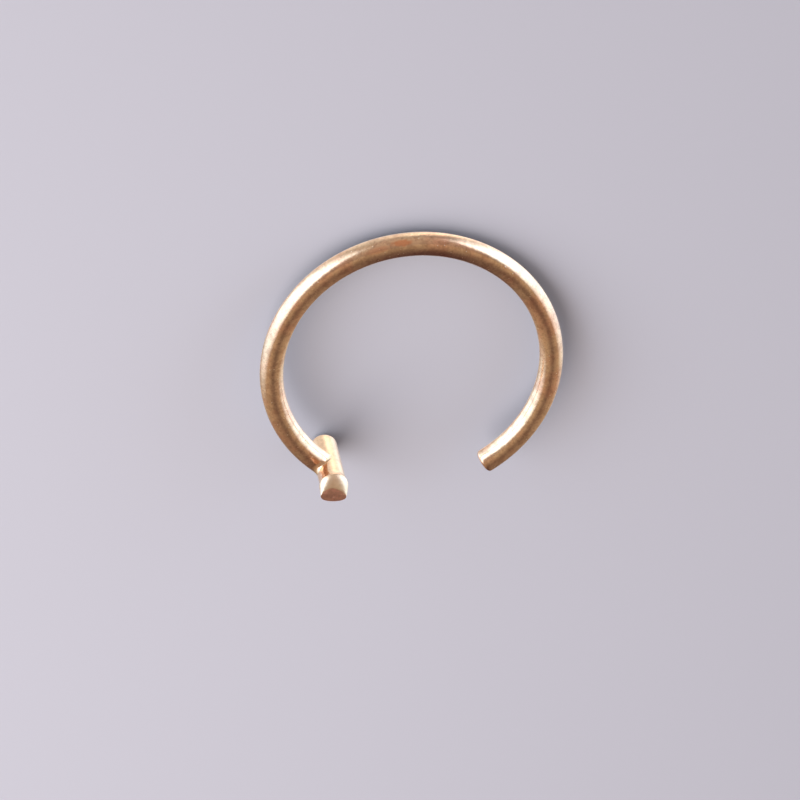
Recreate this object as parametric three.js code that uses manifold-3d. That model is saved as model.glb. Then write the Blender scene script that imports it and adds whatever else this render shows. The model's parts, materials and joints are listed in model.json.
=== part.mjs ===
// An open nose ring of round gold wire, with a short round bar soldered across one end.
// It lies on its side: the bar's lower end and the far side of the hoop touch the surface.
// Millimetres, +Z up. The origin is on that surface, under the middle of the ring's box.
// The pieces are made in the hoop's own frame: the wire's circle is in the XY plane round the
// origin, the gap is towards -Y, and the bar is parallel to Z.

import * as THREE from "three";
import { mergeVertices } from "three/addons/utils/BufferGeometryUtils.js";
import Module from "manifold-3d";

// Driving dimensions.
const WIRE_DIAMETER = 0.8; // 20 gauge
const INNER_DIAMETER = 8.7;
const GAP_ANGLE = 67; // degrees, from the bar's axis to the free end's cut face
const FREE_END_ROUND = 0.12; // radius of the cut face's softened edge
const BAR_DIAMETER = 0.9;
const BAR_LENGTH = 3;
const LOWER_END_ROUND = 0.2; // radius of the rounded rim that the ring rests on
const UPPER_END_ROUND = 0.19;
const UPPER_LIP = 0.04; // how far the upper rim stands out past the bar's side
const UPPER_LIP_LENGTH = 0.2; // how far down the side the lip fades
const SOLDER_SPREAD = 0.09; // how far the solder stands out from the wire at the bar
const SOLDER_LENGTH = 0.34; // how far it runs back along the wire from the bar's side
const SOLDER_STRETCH = 1.25; // it spreads this much further along the bar

// Worked out from them.
const WIRE_RADIUS = WIRE_DIAMETER / 2;
const HOOP_RADIUS = INNER_DIAMETER / 2 + WIRE_RADIUS; // of the wire's centreline
const BAR_RADIUS = BAR_DIAMETER / 2;
const LOWER_FLAT_RADIUS = BAR_RADIUS - LOWER_END_ROUND;
const UPPER_FLAT_RADIUS = BAR_RADIUS + UPPER_LIP - UPPER_END_ROUND;
const BAR_ANGLE = THREE.MathUtils.degToRad(270 - GAP_ANGLE / 2);
const FREE_ANGLE = THREE.MathUtils.degToRad(GAP_ANGLE / 2 - 90);

// Facets.
const WIRE_SIDES = 24;
const HOOP_STEPS = 96;
const BAR_SIDES = 32;
const CORNER_STEPS = 5;

const gold = new THREE.MeshStandardMaterial({ color: 0xe2ac68, roughness: 0.15, metalness: 1 });

const wasm = await Module();
wasm.setup();

// The wire's centreline between two angles of the hoop's circle.
class HoopLine extends THREE.Curve {
  constructor(from, to) {
    super();
    this.from = from;
    this.to = to;
  }

  getPoint(t, target = new THREE.Vector3()) {
    return target.copy(pointOnHoop(THREE.MathUtils.lerp(this.from, this.to, t)));
  }
}

function pointOnHoop(angle) {
  return new THREE.Vector3(HOOP_RADIUS * Math.cos(angle), HOOP_RADIUS * Math.sin(angle), 0);
}

// A closed geometry as a solid that can be joined to others.
function solidOf(geometry) {
  const bare = geometry.clone();
  bare.deleteAttribute("normal");
  bare.deleteAttribute("uv");
  const merged = mergeVertices(bare, 1e-5);
  return new wasm.Manifold(
    new wasm.Mesh({
      numProp: 3,
      vertProperties: merged.attributes.position.array,
      triVerts: new Uint32Array(merged.index.array),
    }),
  );
}

// A solid as a geometry that three.js can draw.
function geometryOf(solid) {
  const mesh = solid.getMesh();
  const geometry = new THREE.BufferGeometry();
  geometry.setAttribute("position", new THREE.BufferAttribute(mesh.vertProperties, 3));
  geometry.setIndex(new THREE.BufferAttribute(mesh.triVerts, 1));
  geometry.computeVertexNormals();
  return geometry;
}

// A quarter-round edge of a turned profile, from the end's flat at flatRadius out to the side.
function roundedEdge(flatRadius, endHeight, round) {
  const points = [];
  for (let i = 0; i <= CORNER_STEPS; i++) {
    const turn = ((Math.PI / 2) * i) / CORNER_STEPS;
    points.push(
      new THREE.Vector2(
        flatRadius + round * Math.sin(turn),
        endHeight - round * (1 - Math.cos(turn)),
      ),
    );
  }
  return points;
}

// A fade from 1 to 0 with no slope at either end.
function fade(t) {
  return (1 + Math.cos(Math.PI * t)) / 2;
}

// The round wire, from the bar's axis to where the free end's edge begins to round.
function hoopGeometry() {
  const section = new THREE.Shape();
  for (let i = 0; i < WIRE_SIDES; i++) {
    const angle = (2 * Math.PI * i) / WIRE_SIDES;
    const x = WIRE_RADIUS * Math.cos(angle);
    const y = WIRE_RADIUS * Math.sin(angle);
    if (i === 0) section.moveTo(x, y);
    else section.lineTo(x, y);
  }
  section.closePath();
  const end = FREE_ANGLE + FREE_END_ROUND / HOOP_RADIUS;
  return new THREE.ExtrudeGeometry(section, {
    steps: HOOP_STEPS,
    extrudePath: new HoopLine(BAR_ANGLE, end),
  });
}

// The last bit of wire at the gap, cut square and with its edge softened.
function freeEndGeometry() {
  const profile = [
    new THREE.Vector2(0, -FREE_END_ROUND),
    new THREE.Vector2(WIRE_RADIUS, -FREE_END_ROUND),
    ...roundedEdge(WIRE_RADIUS - FREE_END_ROUND, FREE_END_ROUND, FREE_END_ROUND).reverse(),
    new THREE.Vector2(0, FREE_END_ROUND),
  ];
  const geometry = new THREE.LatheGeometry(profile, WIRE_SIDES);
  // The lathe's +Y turns to the way in which the wire runs out at the gap.
  geometry.rotateZ(FREE_ANGLE + Math.PI);
  const start = pointOnHoop(FREE_ANGLE + FREE_END_ROUND / HOOP_RADIUS);
  geometry.translate(start.x, start.y, start.z);
  return geometry;
}

// The bar: its lower rim is rounded, and its upper rim stands out in a slight lip.
function barGeometry() {
  const half = BAR_LENGTH / 2;
  const lowerEdge = roundedEdge(LOWER_FLAT_RADIUS, half, LOWER_END_ROUND);
  const lip = [];
  for (let i = CORNER_STEPS; i > 0; i--) {
    const t = i / CORNER_STEPS;
    lip.push(
      new THREE.Vector2(
        BAR_RADIUS + UPPER_LIP * fade(t),
        half - UPPER_END_ROUND - UPPER_LIP_LENGTH * t,
      ),
    );
  }
  const profile = [
    new THREE.Vector2(0, -half),
    ...lowerEdge.map((point) => new THREE.Vector2(point.x, -point.y)),
    ...lip,
    ...roundedEdge(UPPER_FLAT_RADIUS, half, UPPER_END_ROUND).reverse(),
    new THREE.Vector2(0, half),
  ];
  const geometry = new THREE.LatheGeometry(profile, BAR_SIDES);
  geometry.rotateX(Math.PI / 2);
  const foot = pointOnHoop(BAR_ANGLE);
  geometry.translate(foot.x, foot.y, foot.z);
  return geometry;
}

// The solder drawn up round the wire where it meets the bar's side.
function solderGeometry() {
  const start = BAR_RADIUS * 0.75; // inside the bar
  const end = BAR_RADIUS + SOLDER_LENGTH;
  const profile = [new THREE.Vector2(0, start)];
  for (let i = 0; i <= CORNER_STEPS; i++) {
    const t = i / CORNER_STEPS;
    const sink = 0.01 * t; // the thin edge ends just inside the wire
    profile.push(
      new THREE.Vector2(
        WIRE_RADIUS + SOLDER_SPREAD * (1 - t) ** 2 - sink,
        THREE.MathUtils.lerp(start, end, t),
      ),
    );
  }
  profile.push(new THREE.Vector2(0, end));
  const geometry = new THREE.LatheGeometry(profile, WIRE_SIDES);
  geometry.scale(1, 1, SOLDER_STRETCH);
  // Along the wire as it leaves the bar, with half of the hoop's bend over the solder's reach.
  const bend = end / HOOP_RADIUS / 2;
  geometry.rotateZ(BAR_ANGLE - bend + Math.PI);
  const foot = pointOnHoop(BAR_ANGLE);
  geometry.translate(foot.x, foot.y, foot.z);
  return geometry;
}

function centreOfMass(geometry) {
  const position = geometry.attributes.position;
  const index = geometry.index;
  const corners = [new THREE.Vector3(), new THREE.Vector3(), new THREE.Vector3()];
  const cross = new THREE.Vector3();
  const sum = new THREE.Vector3();
  let volume = 0;
  for (let i = 0; i < index.count; i += 3) {
    corners.forEach((corner, k) => corner.fromBufferAttribute(position, index.getX(i + k)));
    const part = cross.crossVectors(corners[1], corners[2]).dot(corners[0]) / 6;
    volume += part;
    corners.forEach((corner) => sum.addScaledVector(corner, part / 4));
  }
  return sum.divideScalar(volume);
}

// The lean of the hoop's plane when it is lowest at the given angle of its circle, and the
// bar's lower rim and the wire there both touch the surface.
function leanAt(angle) {
  const across = HOOP_RADIUS * (1 - Math.cos(angle - BAR_ANGLE)) - LOWER_FLAT_RADIUS;
  const below = BAR_LENGTH / 2 - LOWER_END_ROUND;
  const rounding = LOWER_END_ROUND - WIRE_RADIUS;
  return Math.atan2(below, across) + Math.asin(rounding / Math.hypot(below, across));
}

// The way up of the surface, seen from the hoop, for that angle and lean.
function upwards(angle) {
  const lean = leanAt(angle);
  return new THREE.Vector3(
    -Math.sin(lean) * Math.cos(angle),
    -Math.sin(lean) * Math.sin(angle),
    Math.cos(lean),
  );
}

// The way up when the ring rests by itself: its centre of mass is as low as it goes.
function restingUp(centre) {
  const height = (angle) =>
    upwards(angle).dot(centre) + HOOP_RADIUS * Math.sin(leanAt(angle)) + WIRE_RADIUS;
  let low = BAR_ANGLE - Math.PI - 0.6;
  let high = BAR_ANGLE - Math.PI + 0.6;
  while (high - low > 1e-6) {
    const third = (high - low) / 3;
    if (height(low + third) < height(high - third)) high -= third;
    else low += third;
  }
  return upwards((low + high) / 2);
}

function hoopWithBar() {
  const solid = [freeEndGeometry(), solderGeometry(), barGeometry()].reduce(
    (joined, geometry) => joined.add(solidOf(geometry)),
    solidOf(hoopGeometry()),
  );
  const mesh = new THREE.Mesh(geometryOf(solid), gold);
  mesh.name = "hoop_with_bar";
  return mesh;
}

const ring = hoopWithBar();
const lying = new THREE.Group();
lying.add(ring);
lying.quaternion.setFromUnitVectors(
  restingUp(centreOfMass(ring.geometry)),
  new THREE.Vector3(0, 0, 1),
);
const box = new THREE.Box3().setFromObject(lying, true);
const middle = box.getCenter(new THREE.Vector3());
lying.position.set(-middle.x, -middle.y, -box.min.z);

const noseRing = new THREE.Group();
noseRing.add(lying);

export default noseRing;
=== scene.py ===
"""A gold nose ring: an open hoop of round wire with a short bar soldered across one end.

The ring lies on its side on a pale floor. Its pieces are made in the hoop's own frame, where the
wire's circle is in the XY plane round the origin and the bar is parallel to Z, and are then laid
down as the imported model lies. Sizes are in metres; `MM` turns millimetres into metres.
"""

from __future__ import annotations

import json
import logging
import math
from dataclasses import dataclass
from enum import Enum
from typing import Callable

import bmesh
import bpy
from mathutils import Matrix, Vector


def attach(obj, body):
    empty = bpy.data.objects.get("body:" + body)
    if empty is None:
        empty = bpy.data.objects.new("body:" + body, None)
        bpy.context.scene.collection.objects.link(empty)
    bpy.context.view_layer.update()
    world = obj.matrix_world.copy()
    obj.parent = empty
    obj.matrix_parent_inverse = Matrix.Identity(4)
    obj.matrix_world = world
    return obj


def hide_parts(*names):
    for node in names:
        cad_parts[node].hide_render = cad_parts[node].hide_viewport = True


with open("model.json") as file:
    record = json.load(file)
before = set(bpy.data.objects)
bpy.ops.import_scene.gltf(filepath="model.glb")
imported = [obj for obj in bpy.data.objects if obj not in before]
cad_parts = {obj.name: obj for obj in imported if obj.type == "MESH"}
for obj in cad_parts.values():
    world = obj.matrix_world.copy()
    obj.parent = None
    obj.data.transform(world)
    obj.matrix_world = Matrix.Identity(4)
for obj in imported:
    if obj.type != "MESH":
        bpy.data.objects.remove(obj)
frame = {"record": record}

LOG = logging.getLogger("nose_ring")
MM = 0.001
CAD_NODE = "hoop_with_bar"
BODY = "root"
# The name of the attribute that holds each point's place on the metal as if it were straight:
# millimetres along it, then across it.
STRAIGHT = "straight_metal"
SHARP_ANGLE = math.radians(40)
ROUND_SEGMENTS = 8
MERGE_DISTANCE = 1e-7

# Three numbers: a colour, a place, or sizes along three axes.
Triple = tuple[float, float, float]
Socket = bpy.types.NodeSocket


def fade(amount: float) -> float:
    """Return a smooth fall from 1 at 0 to 0 at 1, level at both ends."""
    return 0.5 * (1 + math.cos(math.pi * min(max(amount, 0.0), 1.0)))


@dataclass(frozen=True)
class HoopFrame:
    """Where the hoop's own frame is in the model.

    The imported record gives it: the bar's upper face is a mount, and its axis is the hoop's axis.
    """

    hoop_radius: float
    bar_angle: float
    bar_half: float

    def matrix(self) -> Matrix:
        """Work out the move from the hoop's frame to the model's.

        Returns:
            The 4x4 matrix that lays a piece made in the hoop's frame down in its place.
        """
        mounts = {mount["name"]: mount for mount in frame["record"]["mounts"]}
        upper_face = mounts["bar_upper_face"]
        turn = Vector((0, 0, 1)).rotation_difference(Vector(upper_face["axis"]))
        face_here = Vector(
            (
                self.hoop_radius * math.cos(self.bar_angle),
                self.hoop_radius * math.sin(self.bar_angle),
                self.bar_half,
            )
        )
        shift = Vector(upper_face["pos_m"]) - turn @ face_here
        return Matrix.Translation(shift) @ turn.to_matrix().to_4x4()


@dataclass(frozen=True)
class Sizes:
    """The ring's driving sizes, shared by its pieces."""

    wire_radius: float = 0.4 * MM
    hoop_radius: float = 4.75 * MM
    bar_radius: float = 0.45 * MM
    bar_length: float = 3.0 * MM
    gap: float = math.radians(67)

    @property
    def bar_angle(self) -> float:
        """Return the angle of the bar's axis on the hoop's circle."""
        return math.radians(270) - self.gap / 2

    @property
    def free_angle(self) -> float:
        """Return the angle of the wire's cut face on the hoop's circle."""
        return self.gap / 2 - math.radians(90)

    def frame(self) -> HoopFrame:
        """Return where the hoop lies in the model."""
        return HoopFrame(self.hoop_radius, self.bar_angle, self.bar_length / 2)


class Wear(Enum):
    """How a stretch of the metal was last worked."""

    DRAWN = "drawn"
    TURNED = "turned"
    FLOWED = "flowed"
    FILED = "filed"


@dataclass(frozen=True)
class Stain:
    """One coloured stain on the straightened metal, in millimetres.

    It is solid out to `solid` of its half sizes and gone at `gone`, with an edge that a noise frays.
    """

    place: Triple
    half_size: Triple
    colour: Triple
    strength: float
    fray_scale: float = 9.0
    fray: float = 0.9
    solid: float = 0.9
    gone: float = 1.6


@dataclass(frozen=True)
class GoldFinish:
    """Polished rosy yellow gold, mottled by handling, with fine lines, tarnish and specks.

    Lengths are millimetres on the straightened metal; scales are per millimetre. A range is where
    a noise starts to show and where it shows fully, and a height is a share of `depth`.
    """

    name: str
    wear: Wear
    bright: Triple = (1.0, 0.71, 0.46)
    warm: Triple = (0.98, 0.58, 0.38)
    tarnish: Triple = (0.40, 0.23, 0.15)
    flush: Triple = (0.72, 0.33, 0.22)
    pale: Triple = (1.0, 0.86, 0.70)
    roughness: float = 0.15
    rough_spread: float = 0.08
    cloud_scale: float = 1.3
    mottle_scale: float = 4.2
    blush_scale: float = 2.9
    mottle: float = 0.30
    blush: float = 0.16
    grain_scale: float = 12.0
    grain: float = 0.26
    speck_scale: float = 5.5
    speck_size: float = 0.13
    line_scale: float = 26.0
    line_stretch: float = 0.04
    bump: float = 0.42
    depth: float = 0.022
    cloud_range: tuple[float, float] = (0.38, 0.72)
    mottle_range: tuple[float, float] = (0.44, 0.62)
    blush_range: tuple[float, float] = (0.48, 0.66)
    grain_range: tuple[float, float] = (0.5, 0.68)
    speck_paleness: float = 0.7
    speck_dullness: float = 0.2
    mottle_height: float = 0.6
    grain_height: float = 0.06
    line_height: float = 0.015
    speck_height: float = 0.5
    stains: tuple[Stain, ...] = ()

    def material(self) -> bpy.types.Material:
        """Build the node material.

        Returns:
            The new material.
        """
        material = bpy.data.materials.new(self.name)
        material.use_nodes = True
        graph = NodeGraph(material.node_tree)
        place = graph.attribute(STRAIGHT)

        cloud = graph.noise(place, self.cloud_scale, detail=3, roughness=0.55)
        mottle = graph.noise(place, self.mottle_scale, detail=2, roughness=0.6)
        blush = graph.noise(place, self.blush_scale, detail=2, roughness=0.5)
        grain = graph.noise(place, self.grain_scale, detail=2, roughness=0.65)
        lines = graph.noise(self._line_place(graph, place), self.line_scale, detail=2, roughness=0.6)
        specks = graph.specks(place, self.speck_scale, self.speck_size)

        colour = graph.blend(graph.ramp(cloud, *self.cloud_range), self.bright, self.warm)
        blotches = graph.product(graph.ramp(mottle, *self.mottle_range), self.mottle)
        colour = graph.blend(blotches, colour, self.tarnish)
        flushed = graph.product(graph.ramp(blush, *self.blush_range), self.blush)
        colour = graph.blend(flushed, colour, self.flush)
        dots = graph.product(graph.ramp(grain, *self.grain_range), self.grain)
        colour = graph.blend(dots, colour, self.tarnish)
        for stain in self.stains:
            colour = graph.blend(self._stain_mask(graph, place, stain), colour, stain.colour)
        colour = graph.blend(graph.product(specks, self.speck_paleness), colour, self.pale)

        uneven = graph.product(graph.sum(mottle, lines), 0.5)
        roughness = graph.spread(uneven, self.roughness, self.roughness + self.rough_spread)
        roughness = graph.sum(roughness, graph.product(specks, self.speck_dullness))

        height = graph.sum(
            graph.product(mottle, self.mottle_height),
            graph.product(grain, self.grain_height),
            graph.product(lines, self.line_height),
            graph.product(specks, self.speck_height),
        )
        graph.metal(colour, roughness, graph.bump(height, self.bump, self.depth * MM))
        return material

    def _line_place(self, graph: NodeGraph, place: Socket) -> Socket:
        """Stretch the place along the way the metal was worked.

        Args:
            graph: The node graph to add to.
            place: The straightened place on the metal.

        Returns:
            The socket of the stretched place.
        """
        if self.wear is Wear.DRAWN:
            return graph.scaled(place, (self.line_stretch, 1, 1))
        if self.wear is Wear.TURNED:
            return graph.scaled(place, (1, self.line_stretch, self.line_stretch))
        if self.wear is Wear.FILED:
            return graph.scaled(place, (1, 1, self.line_stretch))
        return place

    @staticmethod
    def _stain_mask(
        graph: NodeGraph, place: Socket, stain: Stain
    ) -> Socket:
        """Work out how strong a stain is at a place.

        Args:
            graph: The node graph to add to.
            place: The straightened place on the metal.
            stain: The stain.

        Returns:
            The socket of its strength there, which its edge frays.
        """
        ragged = graph.noise(place, stain.fray_scale, detail=3, roughness=0.6)
        away = graph.distance(place, stain.place, stain.half_size)
        frayed = graph.sum(away, graph.product(ragged, stain.fray))
        return graph.spread(frayed, stain.strength, 0.0, stain.solid, stain.gone)


class NodeGraph:
    """A short way of adding the nodes that the finishes use."""

    def __init__(self, tree: bpy.types.NodeTree) -> None:
        """Start an empty graph.

        Args:
            tree: The node tree to fill.
        """
        self.tree = tree
        self.tree.nodes.clear()

    def _node(self, kind: str) -> bpy.types.Node:
        """Add a node of a kind."""
        return self.tree.nodes.new(kind)

    def _link(self, source: Socket, target: Socket) -> None:
        """Join two sockets."""
        self.tree.links.new(source, target)

    def _feed(self, value: object, target: Socket) -> None:
        """Link a socket, or set a plain number or colour on the target.

        Args:
            value: A socket, a number, or a colour.
            target: The socket that takes it.
        """
        if isinstance(value, Socket):
            self._link(value, target)
        elif isinstance(value, tuple) and len(value) == 3:
            target.default_value = (*value, 1.0)
        else:
            target.default_value = value

    def attribute(self, name: str) -> Socket:
        """Read a mesh attribute.

        Args:
            name: The attribute.

        Returns:
            The socket of its vector.
        """
        node = self._node("ShaderNodeAttribute")
        node.attribute_name = name
        return node.outputs["Vector"]

    def scaled(self, place: Socket, factors: Triple) -> Socket:
        """Scale a place.

        Args:
            place: The place.
            factors: What each of its three parts is multiplied by.

        Returns:
            The socket of the scaled place.
        """
        node = self._node("ShaderNodeMapping")
        node.inputs["Scale"].default_value = factors
        self._link(place, node.inputs["Vector"])
        return node.outputs["Vector"]

    def distance(
        self,
        place: Socket,
        centre: Triple,
        half_size: Triple,
    ) -> Socket:
        """Measure how far a place is from a centre.

        Args:
            place: The place.
            centre: The centre.
            half_size: What counts as a distance of 1 along each axis.

        Returns:
            The socket of the distance.
        """
        node = self._node("ShaderNodeMapping")
        factors = [1 / size for size in half_size]
        node.inputs["Scale"].default_value = factors
        node.inputs["Location"].default_value = [-c * f for c, f in zip(centre, factors)]
        self._link(place, node.inputs["Vector"])
        length = self._node("ShaderNodeVectorMath")
        length.operation = "LENGTH"
        self._link(node.outputs["Vector"], length.inputs[0])
        return length.outputs["Value"]

    def noise(
        self, place: Socket, scale: float, detail: float, roughness: float
    ) -> Socket:
        """Add a noise.

        Args:
            place: Where to read it.
            scale: Its scale, per millimetre.
            detail: How many finer layers it has.
            roughness: How strong those are.

        Returns:
            The socket of its value, 0 to 1.
        """
        node = self._node("ShaderNodeTexNoise")
        node.inputs["Scale"].default_value = scale
        node.inputs["Detail"].default_value = detail
        node.inputs["Roughness"].default_value = roughness
        self._link(place, node.inputs["Vector"])
        return node.outputs["Fac"]

    def specks(
        self, place: Socket, scale: float, size: float
    ) -> Socket:
        """Add round specks, one to a cell.

        Args:
            place: Where to read them.
            scale: Cells per millimetre.
            size: A speck's radius, in cells.

        Returns:
            The socket of their value, 1 in a speck's middle and 0 outside.
        """
        node = self._node("ShaderNodeTexVoronoi")
        node.inputs["Scale"].default_value = scale
        node.inputs["Randomness"].default_value = 1.0
        self._link(place, node.inputs["Vector"])
        return self.spread(node.outputs["Distance"], 1.0, 0.0, 0.0, size)

    def spread(
        self,
        value: Socket,
        to_low: float,
        to_high: float,
        low: float = 0.0,
        high: float = 1.0,
    ) -> Socket:
        """Map a value from one range to another, held at the ends.

        Args:
            value: The value.
            to_low: What `low` becomes.
            to_high: What `high` becomes.
            low: The start of the range it comes from.
            high: The end of that range.

        Returns:
            The socket of the mapped value.
        """
        node = self._node("ShaderNodeMapRange")
        node.interpolation_type = "SMOOTHSTEP"
        node.inputs["From Min"].default_value = low
        node.inputs["From Max"].default_value = high
        node.inputs["To Min"].default_value = to_low
        node.inputs["To Max"].default_value = to_high
        self._link(value, node.inputs["Value"])
        return node.outputs["Result"]

    def ramp(self, value: Socket, low: float, high: float) -> Socket:
        """Return 0 below `low`, 1 above `high`, and a smooth step between."""
        return self.spread(value, 0.0, 1.0, low, high)

    def product(self, value: Socket, factor: Socket | float) -> Socket:
        """Multiply a value by another or by a number."""
        return self._math("MULTIPLY", value, factor)

    def sum(self, *values: Socket) -> Socket:
        """Add values together.

        Args:
            values: The values.

        Returns:
            The socket of their sum.
        """
        total = values[0]
        for value in values[1:]:
            total = self._math("ADD", total, value)
        return total

    def blend(self, amount: Socket, low: object, high: object) -> Socket:
        """Blend two colours.

        Args:
            amount: 0 for the first colour, 1 for the second.
            low: The first, a socket or a colour.
            high: The second.

        Returns:
            The socket of the blended colour.
        """
        node = self._node("ShaderNodeMix")
        node.data_type = "RGBA"
        sockets = [socket for socket in node.inputs if socket.type == "RGBA"]
        self._link(amount, node.inputs["Factor"])
        self._feed(low, sockets[0])
        self._feed(high, sockets[1])
        return next(socket for socket in node.outputs if socket.type == "RGBA")

    def bump(
        self, height: Socket, strength: float, distance: float
    ) -> Socket:
        """Turn a height into a bumped normal.

        Args:
            height: The height.
            strength: How much of the bump is used.
            distance: How high a height of 1 is.

        Returns:
            The socket of the normal.
        """
        node = self._node("ShaderNodeBump")
        node.inputs["Strength"].default_value = strength
        node.inputs["Distance"].default_value = distance
        self._link(height, node.inputs["Height"])
        return node.outputs["Normal"]

    def direction(self) -> Socket:
        """Return the direction in which the world is seen."""
        return self._node("ShaderNodeTexCoord").outputs["Generated"]

    def dot(self, value: Socket, axis: Vector) -> Socket:
        """Measure how far a vector goes along an axis.

        Args:
            value: The vector.
            axis: The axis, a unit vector.

        Returns:
            The socket of that length.
        """
        node = self._node("ShaderNodeVectorMath")
        node.operation = "DOT_PRODUCT"
        self._link(value, node.inputs[0])
        node.inputs[1].default_value = axis
        return node.outputs["Value"]

    def quotient(
        self, value: Socket, divisor: Socket
    ) -> Socket:
        """Divide one value by another."""
        return self._math("DIVIDE", value, divisor)

    def glow(
        self,
        light: Socket,
        mask: Socket,
        colour: Triple,
    ) -> Socket:
        """Add a colour to some light.

        Args:
            light: The light so far.
            mask: How strongly the colour is added.
            colour: The colour.

        Returns:
            The socket of the light with it.
        """
        scale = self._node("ShaderNodeVectorMath")
        scale.operation = "SCALE"
        scale.inputs[0].default_value = colour
        self._link(mask, scale.inputs["Scale"])
        add = self._node("ShaderNodeVectorMath")
        add.operation = "ADD"
        self._link(light, add.inputs[0])
        self._link(scale.outputs[0], add.inputs[1])
        return add.outputs[0]

    def background(self, light: Socket) -> None:
        """End the graph in a world.

        Args:
            light: What the world gives off.
        """
        shader = self._node("ShaderNodeBackground")
        self._link(light, shader.inputs["Color"])
        output = self._node("ShaderNodeOutputWorld")
        self._link(shader.outputs["Background"], output.inputs["Surface"])

    def _math(
        self, operation: str, first: Socket, second: object = 0.0
    ) -> Socket:
        """Add a math node.

        Args:
            operation: Which one.
            first: Its first value.
            second: Its second value, a socket or a number.

        Returns:
            The socket of the result.
        """
        node = self._node("ShaderNodeMath")
        node.operation = operation
        self._link(first, node.inputs[0])
        self._feed(second, node.inputs[1])
        return node.outputs[0]

    def metal(
        self,
        colour: Socket,
        roughness: Socket,
        normal: Socket,
    ) -> None:
        """End the graph in a metal.

        Args:
            colour: What it reflects.
            roughness: How dull it is.
            normal: Its bumped normal.
        """
        shader = self._node("ShaderNodeBsdfPrincipled")
        shader.inputs["Metallic"].default_value = 1.0
        shader.inputs["IOR"].default_value = 1.5
        self._link(colour, shader.inputs["Base Color"])
        self._link(roughness, shader.inputs["Roughness"])
        self._link(normal, shader.inputs["Normal"])
        output = self._node("ShaderNodeOutputMaterial")
        self._link(shader.outputs["BSDF"], output.inputs["Surface"])


def finish_piece(
    name: str,
    shape: bmesh.types.BMesh,
    sizes: Sizes,
    finishes: tuple[GoldFinish, ...],
    straight: Callable[[Vector], Vector],
) -> bpy.types.Object:
    """Make a gold piece of a shape: dress it, lay it in its place and join it to the frame.

    Args:
        name: The piece's name.
        shape: Its shape in the hoop's frame, which is freed.
        sizes: The ring's sizes.
        finishes: Its finishes, in the order of the faces' material numbers.
        straight: Gives a point's place on the straightened metal.

    Returns:
        The finished object.
    """
    bmesh.ops.recalc_face_normals(shape, faces=shape.faces)
    layer = shape.verts.layers.float_vector.new(STRAIGHT)
    for vert in shape.verts:
        vert[layer] = straight(vert.co) / MM
    bmesh.ops.transform(shape, matrix=sizes.frame().matrix(), verts=shape.verts)
    mesh = bpy.data.meshes.new(name)
    shape.to_mesh(mesh)
    shape.free()
    mesh.shade_smooth()
    mesh.set_sharp_from_angle(angle=SHARP_ANGLE)
    for finish in finishes:
        mesh.materials.append(finish.material())
    piece = bpy.data.objects.new(name, mesh)
    bpy.context.scene.collection.objects.link(piece)
    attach(piece, BODY)
    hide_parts(CAD_NODE)
    return piece


# The filed faces' higher roughness and bump are the filing's own; their darker, rosier colour is
# painted shade.
FILED_END_PAINTED_SHADE = GoldFinish(
    "gold_filed_end_painted_shade",
    Wear.FILED,
    bright=(0.98, 0.55, 0.41),
    warm=(0.85, 0.45, 0.33),
    roughness=0.30,
    rough_spread=0.18,
    bump=0.8,
)


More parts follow.
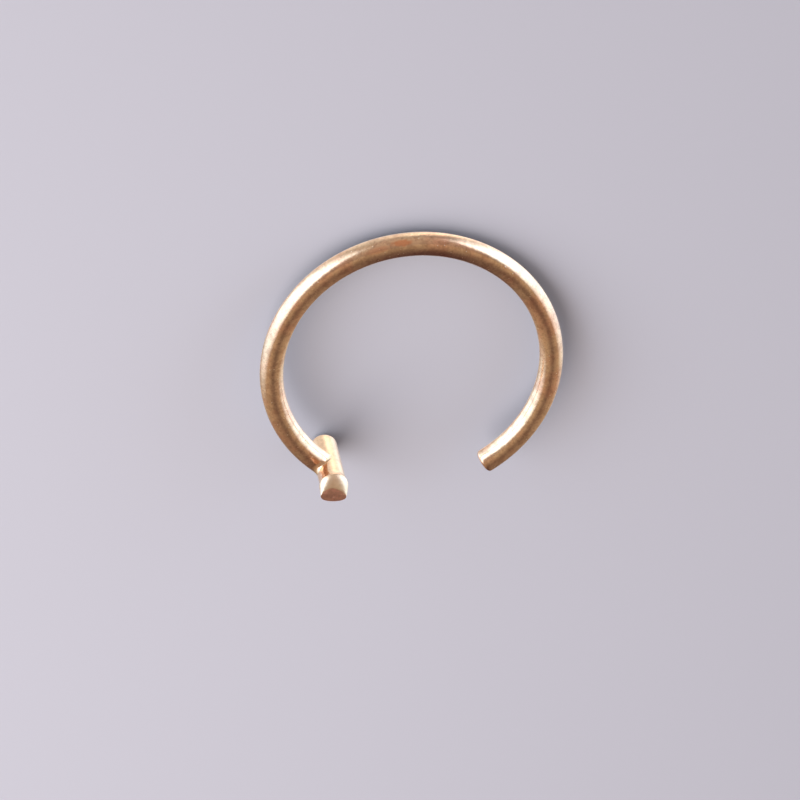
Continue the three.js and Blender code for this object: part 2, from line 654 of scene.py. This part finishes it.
@dataclass
class HoopWire:
    """The round wire, bent to an open hoop and cut square at its free end."""

    sizes: Sizes
    end_round: float = 0.12 * MM
    end_stretch: float = 0.2 * MM
    rim_reach: float = 1.2
    sides: int = 96
    steps: int = 420
    finish: GoldFinish = GoldFinish(
        "gold_wire",
        Wear.DRAWN,
        stains=(
            Stain((15.5, 0.27, 0.30), (0.36, 0.14, 0.14), (1.0, 0.42, 0.20), 0.75),
            Stain((16.3, 0.20, 0.34), (0.5, 0.12, 0.12), (1.0, 0.50, 0.28), 0.5),
        ),
    )

    def build(self) -> bpy.types.Object:
        """Build the wire.

        Returns:
            The finished object.
        """
        shape = self._bend()
        self._cut_free_end(shape)
        bmesh.ops.holes_fill(shape, edges=[edge for edge in shape.edges if edge.is_boundary])
        # The cut face takes the filed finish, whose darker rosier colour is painted shade.
        finishes = (self.finish, FILED_END_PAINTED_SHADE)
        return finish_piece("hoop_wire", shape, self.sizes, finishes, self._straight)

    def _bend(self) -> bmesh.types.BMesh:
        """Spin the wire's section from near the free end round to the bar's axis.

        Returns:
            The open tube, in the hoop's frame.
        """
        sizes = self.sizes
        start = sizes.free_angle + self.end_stretch / sizes.hoop_radius
        shape = bmesh.new()
        bmesh.ops.create_circle(shape, segments=self.sides, radius=sizes.wire_radius)
        upright = Matrix.Rotation(math.pi / 2, 4, "X")
        outward = Matrix.Translation((sizes.hoop_radius, 0, 0))
        turn = Matrix.Rotation(start, 4, "Z")
        bmesh.ops.transform(shape, matrix=turn @ outward @ upright, verts=shape.verts)
        bmesh.ops.spin(
            shape,
            geom=shape.verts[:] + shape.edges[:],
            cent=(0, 0, 0),
            axis=(0, 0, 1),
            angle=sizes.bar_angle - start,
            steps=self.steps,
            use_merge=False,
        )
        return shape

    def _cut_free_end(self, shape: bmesh.types.BMesh) -> None:
        """Run the wire straight on to its cut face, and round that face's edge.

        Args:
            shape: The bent wire, which is changed.
        """
        sizes = self.sizes
        start = sizes.free_angle + self.end_stretch / sizes.hoop_radius
        way = Vector((math.sin(start), -math.cos(start), 0))
        here = Vector((math.cos(start), math.sin(start), 0)) * sizes.hoop_radius
        reach = sizes.wire_radius * self.rim_reach
        rim = [
            edge
            for edge in shape.edges
            if edge.is_boundary
            and all((vert.co - here).length < reach for vert in edge.verts)
        ]
        grown = bmesh.ops.extrude_edge_only(shape, edges=rim)["geom"]
        verts = [item for item in grown if isinstance(item, bmesh.types.BMVert)]
        edges = [
            item
            for item in grown
            if isinstance(item, bmesh.types.BMEdge) and all(v in verts for v in item.verts)
        ]
        bmesh.ops.translate(shape, verts=verts, vec=way * self.end_stretch)
        # The cut face gets material 1, the filed finish with painted shade in its colour.
        for face in bmesh.ops.edgeloop_fill(shape, edges=edges)["faces"]:
            face.material_index = 1
        bmesh.ops.bevel(
            shape,
            geom=edges,
            offset=self.end_round,
            offset_type="OFFSET",
            affect="EDGES",
            segments=ROUND_SEGMENTS,
            profile=0.5,
            material=-1,
        )

    def _straight(self, point: Vector) -> Vector:
        """Give a point's place on the wire as it was before it was bent.

        Args:
            point: A point in the hoop's frame.

        Returns:
            The way along the wire from the gap's middle, then the two ways across it.
        """
        angle = (math.atan2(point.y, point.x) + math.pi / 2) % (2 * math.pi)
        out = math.hypot(point.x, point.y) - self.sizes.hoop_radius
        return Vector((angle * self.sizes.hoop_radius, out, point.z))


@dataclass
class EndBar:
    """The short round bar across the wire's end.

    Its lower rim is rounded. Its upper rim is a slight lip under a low dome, whose top is filed to
    an off-centre flat. The dome's paler colour is a painted highlight, and the flat's darker colour
    painted shade.
    """

    sizes: Sizes
    lower_round: float = 0.2 * MM
    lip: float = 0.04 * MM
    lip_length: float = 0.2 * MM
    lip_round: float = 0.08 * MM
    dome_depth: float = 0.34 * MM
    dome_edge: float = math.radians(50)
    filed_off: float = 0.02 * MM
    face_half_width: float = 0.41 * MM
    face_half_height: float = 0.26 * MM
    face_taper: float = 0.35
    face_lean: float = 0.10 * MM
    face_shift: float = 0.17 * MM
    face_side: float = math.radians(270)
    face_tolerance: float = 0.002 * MM
    # The share of the dome's depth, from its top, that takes the finish with the painted highlight.
    painted_highlight_share: float = 0.9
    sides: int = 128
    finish: GoldFinish = GoldFinish("gold_bar", Wear.TURNED, mottle=0.15, grain=0.08, bump=0.25)
    # Painted highlight: the dome's paler, creamier colour stands in for the light it catches; its
    # higher roughness is its own.
    dome_painted_highlight_finish: GoldFinish = GoldFinish(
        "gold_dome_painted_highlight",
        Wear.FLOWED,
        bright=(1.0, 0.79, 0.56),
        warm=(1.0, 0.73, 0.49),
        mottle=0.12,
        grain=0.06,
        roughness=0.33,
    )

    def build(self) -> bpy.types.Object:
        """Build the bar.

        Returns:
            The finished object.
        """
        shape = self._turn()
        foot = self._foot()
        bmesh.ops.translate(shape, verts=shape.verts, vec=foot)
        # The flat's finish has painted shade in its colour, the dome's a painted highlight.
        finishes = (self.finish, FILED_END_PAINTED_SHADE, self.dome_painted_highlight_finish)
        return finish_piece("end_bar", shape, self.sizes, finishes, self._straight)

    def _foot(self) -> Vector:
        """Return where the bar's axis meets the hoop's plane."""
        angle = self.sizes.bar_angle
        return Vector((math.cos(angle), math.sin(angle), 0)) * self.sizes.hoop_radius

    def _turn(self) -> bmesh.types.BMesh:
        """Spin the bar's outline round its axis, and file its upper end.

        Returns:
            The bar, round its own axis.
        """
        half = self.sizes.bar_length / 2
        radius = self.sizes.bar_radius
        outline = [
            (0, -half),
            (radius, -half),
            (radius, half - self.dome_depth - self.lip_length),
            (radius + self.lip, half - self.dome_depth),
            (radius + self.lip, half),
            (0, half),
        ]
        rounds = {
            1: self.lower_round,
            2: self.lip_round,
            3: self.lip_round,
            4: self.dome_depth,
        }
        shape = bmesh.new()
        verts = [shape.verts.new((x, 0, z)) for x, z in outline]
        for first, second in zip(verts, verts[1:]):
            shape.edges.new((first, second))
        for index, offset in rounds.items():
            bmesh.ops.bevel(
                shape,
                geom=[verts[index]],
                offset=offset,
                offset_type="OFFSET",
                affect="VERTICES",
                segments=ROUND_SEGMENTS,
                profile=0.5,
                material=-1,
            )
        bmesh.ops.spin(
            shape,
            geom=shape.verts[:] + shape.edges[:],
            cent=(0, 0, 0),
            axis=(0, 0, 1),
            angle=2 * math.pi,
            steps=self.sides,
            use_merge=True,
        )
        bmesh.ops.remove_doubles(shape, verts=shape.verts, dist=MERGE_DISTANCE)
        self._file_upper_end(shape)
        return shape

    def _file_upper_end(self, shape: bmesh.types.BMesh) -> None:
        """Make the upper end a low dome, with the flat that filing left at its lower side.

        Args:
            shape: The turned bar, round its own axis, which is changed.
        """
        half = self.sizes.bar_length / 2
        rim = self.sizes.bar_radius + self.lip
        level = Matrix.Rotation(-self.face_side, 3, "Z")
        for vert in shape.verts:
            climb = (vert.co.z - half + self.dome_depth) / self.dome_depth
            if climb <= 0:
                continue
            steep = math.asin(min(climb, 1.0)) * self.dome_edge / (math.pi / 2)
            inward = (1 - math.cos(steep)) / (1 - math.cos(self.dome_edge))
            way = level @ Vector((vert.co.x, vert.co.y, 0))
            way.normalize()
            half_width = self.face_half_width * (1 + self.face_taper * way.x)
            lean = self.face_lean * (1 - way.x) / 2
            way.y *= rim + (half_width - rim) * inward
            way.y -= lean * inward
            way.x *= rim + (self.face_half_height - rim) * inward
            way.x += self.face_shift * inward
            rise = math.sin(steep) / math.sin(self.dome_edge)
            way.z = half - self.dome_depth + (self.dome_depth - self.filed_off) * rise
            vert.co = level.transposed() @ way
        # Material 1, the filed finish, puts painted shade on the flat; material 2 puts a painted
        # highlight on the rest of the dome.
        for face in shape.faces:
            height = face.calc_center_median().z
            if height > half - self.filed_off - self.face_tolerance:
                face.material_index = 1
            elif height > half - self.dome_depth * self.painted_highlight_share:
                face.material_index = 2

    def _straight(self, point: Vector) -> Vector:
        """Give a point's place on the bar: along it, then the two ways across it."""
        across = point - self._foot()
        return Vector((across.z, across.x, across.y))


@dataclass
class Solder:
    """The fillet of solder between the wire and the bar's side.

    It runs further on the outer side of the joint. Its two ends are buried in the other pieces.
    """

    sizes: Sizes
    along_wire: float = 0.2 * MM
    along_bar: float = 0.1 * MM
    outer_extra: float = 0.12 * MM
    outer_side: float = math.radians(25)
    outer_reach: float = math.radians(120)
    sink: float = 0.004 * MM
    wire_sink: float = 0.016 * MM
    bar_sink: float = 0.032 * MM
    buried: float = 2.0
    sides: int = 96
    rows: int = 14
    finish: GoldFinish = GoldFinish(
        "gold_solder", Wear.FLOWED, bright=(1.0, 0.76, 0.46), roughness=0.1
    )

    def build(self) -> bpy.types.Object:
        """Build the fillet.

        Returns:
            The finished object.
        """
        stages: list[Callable[[float], Vector]] = [
            lambda angle: self._on_wire(angle, self.buried, self.wire_sink)
        ]
        stages += [self._stage(row / self.rows) for row in range(self.rows + 1)]
        stages.append(lambda angle: self._on_bar(angle, self.buried, self.bar_sink))

        shape = bmesh.new()
        angle_of = shape.verts.layers.float.new("section_angle")
        bmesh.ops.create_circle(shape, segments=self.sides, radius=self.sizes.wire_radius)
        ring, edges = shape.verts[:], shape.edges[:]
        for vert in ring:
            vert[angle_of] = math.atan2(vert.co.y, vert.co.x)
        for index, stage in enumerate(stages):
            if index:
                grown = bmesh.ops.extrude_edge_only(shape, edges=edges)["geom"]
                ring = [item for item in grown if isinstance(item, bmesh.types.BMVert)]
                edges = [
                    edge
                    for edge in grown
                    if isinstance(edge, bmesh.types.BMEdge) and set(edge.verts) <= set(ring)
                ]
            for vert in ring:
                vert.co = stage(vert[angle_of])
        bmesh.ops.holes_fill(shape, edges=[edge for edge in shape.edges if edge.is_boundary])
        shape.verts.layers.float.remove(angle_of)
        return finish_piece("solder", shape, self.sizes, (self.finish,), self._straight)

    def _lengths(self, angle: float) -> tuple[float, float]:
        """Give how far the solder runs at a section angle.

        Args:
            angle: The angle round the wire's section, 0 outwards from the hoop.

        Returns:
            The run along the wire and the run along the bar.
        """
        away = abs(math.remainder(angle - self.outer_side, 2 * math.pi))
        extra = self.outer_extra * fade(away / self.outer_reach)
        return self.along_wire + extra, self.along_bar + extra

    def _meeting(self, angle: float) -> float:
        """Return how far from the bar's axis the wire's surface enters the bar."""
        across = self.sizes.wire_radius * math.cos(angle)
        return math.sqrt(self.sizes.bar_radius**2 - across**2)

    def _on_wire(self, angle: float, amount: float, sink: float) -> Vector:
        """Give a point on the wire.

        Args:
            angle: The angle round the wire's section.
            amount: 0 where the wire meets the bar, 1 at the solder's edge.
            sink: How far below the wire's surface.

        Returns:
            The point, in the hoop's frame.
        """
        sizes = self.sizes
        away = self._meeting(angle) + self._lengths(angle)[0] * amount
        turn = sizes.bar_angle - away / sizes.hoop_radius
        out = Vector((math.cos(turn), math.sin(turn), 0))
        depth = sizes.wire_radius - sink
        centre = out * sizes.hoop_radius
        return centre + out * depth * math.cos(angle) + Vector((0, 0, depth * math.sin(angle)))

    def _on_bar(self, angle: float, amount: float, sink: float) -> Vector:
        """Give a point on the bar's side.

        Args:
            angle: The angle round the wire's section.
            amount: 0 where the wire meets the bar, 1 at the solder's edge.
            sink: How far below the bar's surface.

        Returns:
            The point, in the hoop's frame.
        """
        sizes = self.sizes
        run = self._lengths(angle)[1] * amount
        out = Vector((math.cos(sizes.bar_angle), math.sin(sizes.bar_angle), 0))
        back = Vector((math.sin(sizes.bar_angle), -math.cos(sizes.bar_angle), 0))
        across = math.asin(sizes.wire_radius * math.cos(angle) / sizes.bar_radius)
        across += run * math.cos(angle) / sizes.bar_radius
        depth = sizes.bar_radius - sink
        height = sizes.wire_radius * math.sin(angle) + run * math.sin(angle)
        side = back * depth * math.cos(across) + out * depth * math.sin(across)
        return out * sizes.hoop_radius + side + Vector((0, 0, height))

    def _stage(self, amount: float) -> Callable[[float], Vector]:
        """Give one line of the fillet round the wire.

        Args:
            amount: 0 at the edge on the wire, 1 at the edge on the bar.

        Returns:
            A function from the section angle to the line's point.
        """

        def point(angle: float) -> Vector:
            """Place one point of the line.

            Args:
                angle: The angle round the wire's section.

            Returns:
                The point, in the hoop's frame.
            """
            start = self._on_wire(angle, 1.0, self.sink)
            corner = self._on_wire(angle, 0.0, self.sink)
            end = self._on_bar(angle, 1.0, self.sink)
            return (
                start * (1 - amount) ** 2 + corner * 2 * amount * (1 - amount) + end * amount**2
            )

        return point

    def _straight(self, point: Vector) -> Vector:
        """Give a point's place by the bar's axis, which is enough for metal that flowed."""
        return point.copy()


@dataclass(frozen=True)
class Viewpoint:
    """The camera: where it stands round the hoop, and how it is turned.

    The offsets place the hoop's centre in the picture: right of its middle and above it.
    """

    round_hoop: float = math.radians(105.3)
    lean: float = math.radians(32.91)
    roll: float = math.radians(14.8)
    width: float = 26.9 * MM
    distance: float = 0.45
    nearest: float = 0.045
    furthest: float = 4.5
    sensor_mm: float = 36.0
    right_offset: float = 0.389 * MM
    up_offset: float = 1.185 * MM

    def axes(self, laid: Matrix) -> Matrix:
        """Work out the camera's axes.

        Args:
            laid: The move from the hoop's frame to the model's.

        Returns:
            A 4x4 matrix whose columns are right, up and towards the camera, and the hoop's centre.
        """
        short_way = Vector((math.cos(self.round_hoop), math.sin(self.round_hoop), 0))
        long_way = Vector((short_way.y, -short_way.x, 0))
        axis = Vector((0, 0, 1))
        towards = axis * math.cos(self.lean) + short_way * math.sin(self.lean)
        rise = short_way * math.cos(self.lean) - axis * math.sin(self.lean)
        right = long_way * math.cos(self.roll) - rise * math.sin(self.roll)
        up = long_way * math.sin(self.roll) + rise * math.cos(self.roll)
        here = Matrix((right, up, towards)).transposed().to_4x4()
        return laid @ here

    def build(self, laid: Matrix) -> bpy.types.Object:
        """Set up the camera and make it the scene's.

        Args:
            laid: The move from the hoop's frame to the model's.

        Returns:
            The camera object.
        """
        axes = self.axes(laid)
        data = bpy.data.cameras.new("camera")
        data.sensor_width = self.sensor_mm
        data.lens = data.sensor_width * self.distance / self.width
        data.clip_start = self.nearest
        data.clip_end = self.furthest
        camera = bpy.data.objects.new("camera", data)
        offset = Matrix.Translation((-self.right_offset, -self.up_offset, self.distance))
        camera.matrix_world = axes @ offset
        bpy.context.scene.collection.objects.link(camera)
        bpy.context.scene.camera = camera
        return camera


@dataclass(frozen=True)
class Panel:
    """A soft glowing panel of the room, far off, placed by the camera's axes.

    Its width, height and edges are in units of its distance, so 2 is a right angle across. Its
    edges are half the widths of its fades: left, right, lower and upper.
    """

    round: float
    above: float
    width: float
    height: float
    spin: float
    glow: Triple
    edges: tuple[float, float, float, float]

    def axes(self, camera_axes: Matrix) -> tuple[Vector, Vector, Vector]:
        """Work out which way the panel is, and its own sideways and upward ways.

        Args:
            camera_axes: The camera's axes at the hoop's centre.

        Returns:
            The three directions, in the model's frame.
        """
        turn, rise, spin = map(math.radians, (self.round, self.above, self.spin))
        out = Vector(
            (math.sin(turn) * math.cos(rise), math.sin(rise), math.cos(turn) * math.cos(rise))
        )
        side = Vector((0, 1, 0)).cross(out).normalized()
        top = out.cross(side)
        across = side * math.cos(spin) + top * math.sin(spin)
        along = top * math.cos(spin) - side * math.sin(spin)
        turned = camera_axes.to_3x3()
        return turned @ out, turned @ across, turned @ along


@dataclass(frozen=True)
class Room:
    """What the gold reflects: a dim room, a paler table below, and soft panels."""

    upper: Triple = (0.09, 0.05, 0.05)
    lower: Triple = (1.1, 1.1, 1.1)
    horizon: float = -0.75
    horizon_edge: float = 0.6
    facing: tuple[float, float] = (0.02, 0.08)
    window: Triple = (2.2, 2.9, 3.7)
    table: Triple = (0.6, 0.5, 0.35)
    wall: Triple = (0.35, 0.3, 0.25)
    lamp: Triple = (1.0, 0.95, 0.85)
    ceiling: Triple = (0.35, 0.4, 0.4)

    def panels(self) -> tuple[Panel, ...]:
        """Return the two windows, the table below each, the wall, the lamp and the ceiling."""
        return (
            # round, above, width, height, spin, glow, edges: left, right, lower, upper
            Panel(-75, 10, 1.9, 1.2, -5, self.window, (1.5, 0.3, 1.0, 0.6)),
            Panel(95, 20, 1.9, 1.1, 0, self.window, (0.3, 1.5, 1.0, 0.6)),
            Panel(-75, -45, 5.0, 0.6, -10, self.table, (1.5, 1.5, 1.2, 0.5)),
            Panel(85, -30, 5.0, 0.6, 0, self.table, (1.5, 1.5, 1.2, 0.5)),
            Panel(-20, 25, 5.0, 2.0, 15, self.wall, (0.8, 0.8, 0.8, 0.8)),
            Panel(165, 60, 0.3, 1.0, 0, self.lamp, (0.2, 0.2, 0.5, 0.5)),
            Panel(-25, 90, 4.0, 0.3, 35, self.ceiling, (0.4, 0.4, 1.5, 1.0)),
        )

    def build(self, camera_axes: Matrix) -> None:
        """Make the room the scene's world.

        Args:
            camera_axes: The camera's axes at the hoop's centre.
        """
        world = bpy.data.worlds.new("room")
        world.use_nodes = True
        graph = NodeGraph(world.node_tree)
        way = graph.direction()
        rise = graph.dot(way, Vector((0, 0, 1)))
        skyline = (self.horizon - self.horizon_edge, self.horizon + self.horizon_edge)
        light = graph.blend(graph.ramp(rise, *skyline), self.lower, self.upper)
        for panel in self.panels():
            light = graph.glow(light, self._mask(graph, way, panel, camera_axes), panel.glow)
        graph.background(light)
        bpy.context.scene.world = world

    def _mask(self, graph: NodeGraph, way: Socket, panel: Panel, camera_axes: Matrix) -> Socket:
        """Work out how much of a panel is seen in a direction.

        Args:
            graph: The world's node graph.
            way: The direction's socket.
            panel: The panel.
            camera_axes: The camera's axes at the hoop's centre.

        Returns:
            A socket that is 1 inside the panel and fades to 0 at its soft edges.
        """
        out, across, along = panel.axes(camera_axes)
        ahead = graph.dot(way, out)
        mask = graph.ramp(ahead, *self.facing)
        left, right, lower, upper = panel.edges
        for axis, size, low_edge, high_edge in (
            (across, panel.width / 2, left, right),
            (along, panel.height / 2, lower, upper),
        ):
            off = graph.quotient(graph.dot(way, axis), ahead)
            past_low = graph.ramp(off, -size - low_edge, -size + low_edge)
            before_high = graph.spread(off, 1.0, 0.0, size - high_edge, size + high_edge)
            mask = graph.product(mask, graph.product(past_low, before_high))
        return mask


@dataclass
class Studio:
    """The pale floor, the room, the fill light over the floor, and the camera."""

    viewpoint: Viewpoint = Viewpoint()
    room: Room = Room()
    floor_radius: float = 0.6
    floor_colour: Triple = (0.41, 0.392, 0.432)
    floor_glow: float = 0.12
    floor_roughness: float = 0.6
    floor_sides: int = 96
    fill_place: Triple = (-0.068, -0.019, 0.07)
    fill_size: float = 0.14
    fill_power: float = 0.15

    def build(self, laid: Matrix) -> None:
        """Set up the floor, the room, the lights and the camera.

        Args:
            laid: The move from the hoop's frame to the model's.
        """
        self._floor()
        self._fill()
        self.room.build(self.viewpoint.axes(laid))
        self.viewpoint.build(laid)
        bpy.context.scene.view_settings.view_transform = "Standard"
        bpy.context.scene.cycles.caustics_reflective = False

    def _floor(self) -> None:
        """Lay the floor down. The gold reflects the room's own pale table instead of it."""
        shape = bmesh.new()
        bmesh.ops.create_circle(
            shape, cap_ends=True, segments=self.floor_sides, radius=self.floor_radius
        )
        mesh = bpy.data.meshes.new("floor")
        shape.to_mesh(mesh)
        shape.free()
        material = bpy.data.materials.new("floor")
        material.use_nodes = True
        shader = material.node_tree.nodes["Principled BSDF"]
        shader.inputs["Base Color"].default_value = (*self.floor_colour, 1.0)
        shader.inputs["Roughness"].default_value = self.floor_roughness
        shader.inputs["Specular IOR Level"].default_value = 0.0
        shader.inputs["Emission Color"].default_value = (*self.floor_colour, 1.0)
        shader.inputs["Emission Strength"].default_value = self.floor_glow
        mesh.materials.append(material)
        floor = bpy.data.objects.new("floor", mesh)
        floor.visible_glossy = False
        floor.visible_shadow = False
        bpy.context.scene.collection.objects.link(floor)

    def _fill(self) -> None:
        """Hang a soft light over the floor that the gold doesn't mirror."""
        data = bpy.data.lights.new("fill", "AREA")
        data.shape = "DISK"
        data.size = self.fill_size
        data.energy = self.fill_power
        light = bpy.data.objects.new("fill", data)
        where = Vector(self.fill_place)
        light.matrix_world = (
            Matrix.Translation(where) @ where.to_track_quat("Z", "Y").to_matrix().to_4x4()
        )
        light.visible_camera = False
        light.visible_glossy = False
        bpy.context.scene.collection.objects.link(light)


def main() -> None:
    """Build the ring and its studio."""
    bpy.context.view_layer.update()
    sizes = Sizes()
    for maker in (HoopWire(sizes), EndBar(sizes), Solder(sizes)):
        piece = maker.build()
        LOG.info("built %s: %d faces", piece.name, len(piece.data.polygons))
    Studio().build(sizes.frame().matrix())


if __name__ == "__main__":
    logging.basicConfig(level=logging.INFO, format="%(message)s")
    main()
